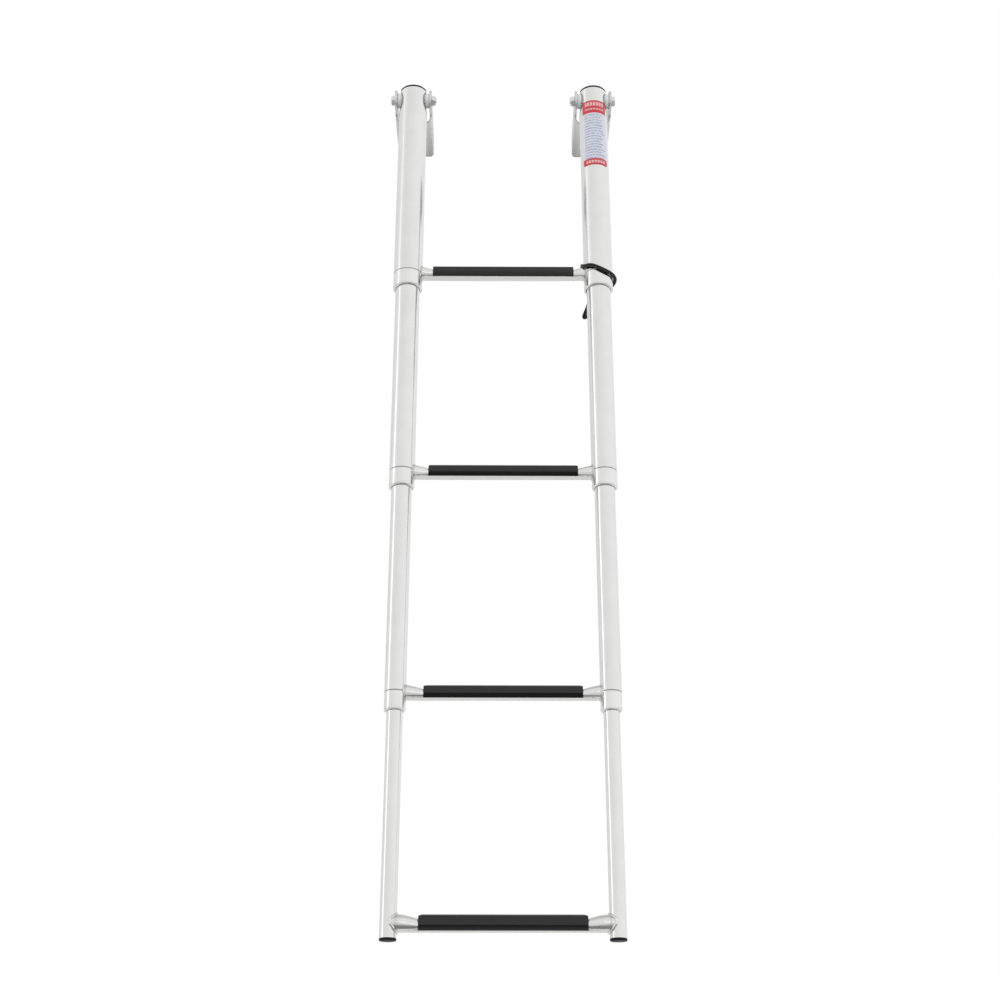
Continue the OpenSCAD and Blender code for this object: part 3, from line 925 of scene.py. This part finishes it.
def build_lock_nuts():
    """Lock nuts: a chamfered hexagon, a crimped collar and the nylon ring held inside it."""
    node = "pivot_lock_nuts"
    y, z = pivot()
    crimp, crimp_round, crimp_wall = HEX_ACROSS / 2 - 0.8 * MM, 0.9 * MM, 1.3 * MM
    thread = BOLT_R + 0.05 * MM
    seat_x, ring_low, ring_top = 0.9 * NUT_HEX_H, 0.93 * NUT_HEX_H, NUT_H - 0.6 * MM
    ring_r, bevel = crimp - crimp_wall - 0.05 * MM, 0.2 * MM
    steel_parts, nylon_parts = [], []
    for side, sign in SIDES.items():
        low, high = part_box(f"{side}_bracket")
        start = low.x if sign > 0 else high.x
        body = [(NUT_HEX_H + 0.1 * MM, crimp)]
        body += [(NUT_H - crimp_round + rise, crimp - inset)
                 for inset, rise in round_edge(crimp_round, (0, 0))]
        body += [(NUT_H - 0.5 * MM, crimp - crimp_wall), (seat_x, crimp - crimp_wall), (seat_x, thread)]
        rings = [cross_ring(start, y, z, lambda a: thread)]
        rings += hex_block(start, NUT_HEX_H, -sign, y, z)
        rings += [cross_ring(start - sign * x, y, z, lambda a, r=r: r) for x, r in body]
        steel_parts.append(skin(rings, closed=True))
        nylon = [(ring_low, ring_r), (ring_top - bevel, ring_r), (ring_top, ring_r - bevel),
                 (ring_top, BOLT_R + bevel), (ring_top - bevel, BOLT_R), (ring_low, BOLT_R)]
        rings = [cross_ring(start - sign * x, y, z, lambda a, r=r: r) for x, r in nylon]
        nylon_parts.append(skin(rings, closed=True))
    make_piece("hinge_lock_nuts", *joined(*steel_parts), [node], "fastener_steel", [FASTENER_STEEL])
    make_piece("lock_nut_inserts", *joined(*nylon_parts), [node], "white_nylon", [WHITE_NYLON])


def build_spacers():
    """Turned nylon spacers between the dimples and the ears, with rounded rims."""
    node = "pivot_spacers"
    y, z = pivot()
    outer, seat = size_of(node).z / 2, DIMPLE_R - SLIDE_GAP
    bore = BOLT_R + SLIDE_GAP
    near_x = DIMPLE_X + SLIDE_GAP
    far_x = size_of("left_bracket").x / 2 - PLATE - SLIDE_GAP
    cone_x = near_x + (outer - seat) / DIMPLE_SLOPE
    rim = 0.8 * MM
    profile = [(near_x, bore), (near_x, seat - 0.3 * MM), (near_x + 0.4 * MM, seat),
               (cone_x, outer - 0.1 * MM), (cone_x + 0.4 * MM, outer)]
    profile += [(far_x - rim + rise, outer - inset) for inset, rise in round_edge(rim, (0, 0))]
    profile += [(far_x, bore)]
    parts = []
    for side in SIDES:
        for out in (-1, 1):
            rings = [cross_ring(rail_axis(side).x + out * x, y, z, lambda a, r=r: r) for x, r in profile]
            parts.append(skin(rings, closed=True))
    make_piece("hinge_spacers", *joined(*parts), [node], "white_nylon", [WHITE_NYLON])


# ---- cord and label ----

def build_cord():
    """One elastic ring wound twice round the right rail and over the top rung's end, so two strands lie
    side by side."""
    node = "retaining_cord"
    origin = Vector((*rail_axis("right"), RungShape("top").centre.z))
    strand = 1.25 * MM
    turns, steps = 2, 480
    # Millimetres and degrees, about the rail's axis at the height of the rung's centre
    half_width, half_depth, backward = 22.7, 25.5, 3.5
    front_drop, rise_over_rung, hang = 10.2, 22, 44.5
    rest_angle, rest_spread, rest_drop = 215, 20, 3.5
    bend = 18

    def middle(a):
        """Middle of the pair; a = 0 is outboard, 90 degrees behind the rail and 270 in front of it."""
        over = ((1 - math.cos(a)) / 2) ** 2
        behind = (1 + math.sin(a)) / 2
        resting = math.exp(-((math.degrees(a % math.tau) - rest_angle) / rest_spread) ** 2)
        return Vector((half_width * math.cos(a) * (1 - 0.75 * behind ** 4) - bend * behind ** 16,
                       backward + half_depth * math.sin(a),
                       rise_over_rung * over - front_drop - rest_drop * resting - hang * behind ** 7)) * MM

    def lay(a):
        """Side of the pair that the strand is on: half a turn more each time round, so the ends meet."""
        turn = math.degrees(a % math.tau)
        return math.pi * (a // math.tau) + math.pi / 2 * (ease(turn, 30, 130) + ease(turn, 290, 350))

    def outward(k):
        a = turns * math.tau * k / steps
        return Vector((math.cos(a), math.sin(a), 0))

    path = []
    for k in range(steps):
        a = turns * math.tau * k / steps
        along = (middle(a + 0.02) - middle(a - 0.02)).normalized()
        across = along.cross(outward(k)).normalized()
        out = across.cross(along)
        off_middle = math.cos(lay(a)) * out + math.sin(lay(a)) * across
        path.append(origin + middle(a) + strand * off_middle)
    make_piece("cord_ring", *sweep(path, lambda k: strand, outward, sides=16), [node], "black_rubber",
               [BLACK_RUBBER])


def build_label():
    """Film wrapped round the front of the right top tube, with rounded corners."""
    node = "information_label"
    low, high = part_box(node)
    axis = rail_axis("right")
    outer = axis.y - low.y
    inner = tube_radius("top") + FIT_GAP
    half_angle = math.asin((high.x - low.x) / 2 / outer)
    corner = 2.2 * MM
    columns, rows = 48, 100
    film, uvs = {}, {}
    for layer, radius in (("out", outer), ("in", inner)):
        for row in range(rows + 1):
            z = high.z - (high.z - low.z) * row / rows
            from_end = min(high.z - z, z - low.z, corner)
            inset = corner - math.sqrt(max(0.0, corner ** 2 - (corner - from_end) ** 2))
            half = half_angle - inset / radius
            for column in range(columns + 1):
                a = half * (2 * column / columns - 1)
                place = axis + radius * Vector((math.sin(a), -math.cos(a)))
                film[layer, row, column] = Vector((*place, z))
                uvs[layer, row, column] = (0.5 + a / half_angle / 2, row / rows)
    keys = list(film)
    index = {key: i for i, key in enumerate(keys)}
    faces = []
    corners = ((0, 0), (0, 1), (1, 1), (1, 0))
    for layer in ("out", "in"):
        faces += [tuple(index[layer, row + down, column + across] for down, across in corners)
                  for row in range(rows) for column in range(columns)]
    rim = [(0, c) for c in range(columns)] + [(r, columns) for r in range(rows)]
    rim += [(rows, c) for c in range(columns, 0, -1)] + [(r, 0) for r in range(rows, 0, -1)]
    for here, after in zip(rim, rim[1:] + rim[:1]):
        faces.append((index["out", *here], index["out", *after], index["in", *after], index["in", *here]))
    piece = make_piece("label_sheet", [film[key] for key in keys], faces, [node], "label_film",
                       [LABEL_FILM])
    placing = piece.data.uv_layers.new(name="print")
    for loop in piece.data.loops:
        placing.data[loop.index].uv = uvs[keys[loop.vertex_index]]


# ---- studio ----

def build_world():
    """White surroundings, with soft boxes that only reflections see."""
    world = bpy.data.worlds.new("studio")
    bpy.context.scene.world = world
    world.use_nodes = True
    nodes = Nodes(world.node_tree)
    place = nodes.add("SeparateXYZ", Vector=nodes.add("TexCoord", output=0))
    x, y, z = (place.node.outputs[i] for i in range(3))
    bearing = nodes.maths("ARCTAN2", x, nodes.maths("MULTIPLY", y, -1.0))
    box_bearing = math.radians(-76)
    glow = nodes.smooth(bearing, math.radians(-60), math.radians(70), 0.99, 1.12)

    def add_glow(glow, share, strength):
        return nodes.maths("ADD", glow, nodes.maths("MULTIPLY", share, strength))

    soft_box = nodes.stripe(bearing, box_bearing, math.radians(6))
    glow = add_glow(glow, soft_box, nodes.smooth(z, 0.58, 0.46, 0.22, 0.85))
    glow = add_glow(glow, nodes.stripe(bearing, box_bearing, math.radians(24)), 0.07)
    off_front = nodes.maths("ABSOLUTE", bearing)
    glow = add_glow(glow, nodes.smooth(off_front, math.radians(95), math.radians(150)), -0.10)
    glow = add_glow(glow, nodes.stripe(z, -0.085, 0.016), -0.55)
    glow = add_glow(glow, nodes.stripe(z, -0.05, 0.025), nodes.smooth(x, -0.1, 0.1, 0.35, 2.2))
    glow = add_glow(glow, nodes.smooth(z, 0.75, 1.0), -0.25)
    strength = nodes.add("MixRGB", i0=nodes.ray_is("Glossy"), i1=colour(0.97, 0.97, 0.97), i2=glow)
    strength = nodes.add("MixRGB", i0=nodes.ray_is("Camera"), i1=strength, i2=colour(1.0, 1.0, 1.0))
    nodes.add("OutputWorld", Surface=nodes.add("Background", Color=strength, Strength=1.0))


def build_floor():
    """Pale studio floor below the camera, with a faint mottle. A patch in front of the ladder is a painted
    dark reflection: glossy rays see it dark grey, while the camera sees it pale."""
    material, nodes, where = new_material("studio_floor")
    mottle = nodes.noise(where, 3, 4)
    pale = nodes.mix(mottle, colour(0.86, 0.86, 0.85), colour(0.9, 0.9, 0.89))
    place = nodes.add("SeparateXYZ", Vector=where)
    forward = place.node.outputs[1]
    # Painted reflection: glossy rays see this patch of floor in front of the ladder as dark grey.
    reflected_dark_patch = nodes.maths("MULTIPLY", nodes.smooth(forward, -0.15, -0.4),
                           nodes.smooth(forward, -1.5, -1.0))
    shade = nodes.maths("MULTIPLY", reflected_dark_patch, nodes.ray_is("Glossy"))
    tone = nodes.mix(shade, pale, colour(0.22, 0.22, 0.23))
    finish_material(nodes, Base_Color=tone, Roughness=0.75)
    radius, drop, steps = 9.0, 0.55, 96
    rim = [(radius * math.cos(a), radius * math.sin(a), cad_lo.z - drop)
           for a in (math.tau * k / steps for k in range(steps))]
    mesh = bpy.data.meshes.new("floor")
    mesh.from_pydata(rim, [], [range(steps)])
    mesh.materials.append(material)
    floor = bpy.data.objects.new("floor", mesh)
    bpy.context.scene.collection.objects.link(floor)


def add_soft_light(name, place, target, side, power):
    """Square soft box that lights the target but isn't seen in reflections."""
    data = bpy.data.lights.new(name, "AREA")
    data.shape = "SQUARE"
    data.size = side
    data.energy = power
    light = bpy.data.objects.new(name, data)
    light.location = place
    light.visible_glossy = False
    light.rotation_euler = (Vector(target) - Vector(place)).to_track_quat("-Z", "Y").to_euler()
    bpy.context.scene.collection.objects.link(light)


def build_lights():
    middle = (cad_lo + cad_hi) / 2
    add_soft_light("key", middle + Vector((-1.6, -1.6, 1.8)), middle, side=1.4, power=9)
    add_soft_light("fill", middle + Vector((1.8, -1.2, 0.6)), middle, side=1.6, power=4)


def build_camera():
    """Camera in front of and below the feet, looking up at the hanging ladder."""
    data = bpy.data.cameras.new("camera")
    data.sensor_width = 36
    data.lens = 53.64
    data.shift_x = -0.0032
    camera = bpy.data.objects.new("camera", data)
    y, z = pivot()
    distance, drop = 1.664, 1.3657
    camera.location = (-0.01, y - distance, z - drop)
    pitch, yaw = 24.4, 0.344
    camera.rotation_euler = (math.radians(90 + pitch), 0, math.radians(-yaw))
    bpy.context.scene.collection.objects.link(camera)
    bpy.context.scene.camera = camera


for side_name in SIDES:
    build_top_tube(side_name)
    build_top_plug(side_name)
    build_foot(side_name)
    build_bracket(side_name)
    for section_name in SECTIONS[1:]:
        build_inner_tube(side_name, section_name)
    for section_name in SECTIONS[:-1]:
        build_collar(side_name, section_name)
        build_bush(side_name, section_name)
for section_name in SECTIONS:
    build_rung(section_name)
    build_tread(section_name)
for section_name in SECTIONS[1:]:
    build_stop_rings(section_name)
build_bolts()
build_lock_nuts()
build_spacers()
build_cord()
build_label()
build_world()
build_floor()
build_lights()
build_camera()
bpy.context.scene.view_settings.view_transform = "Standard"
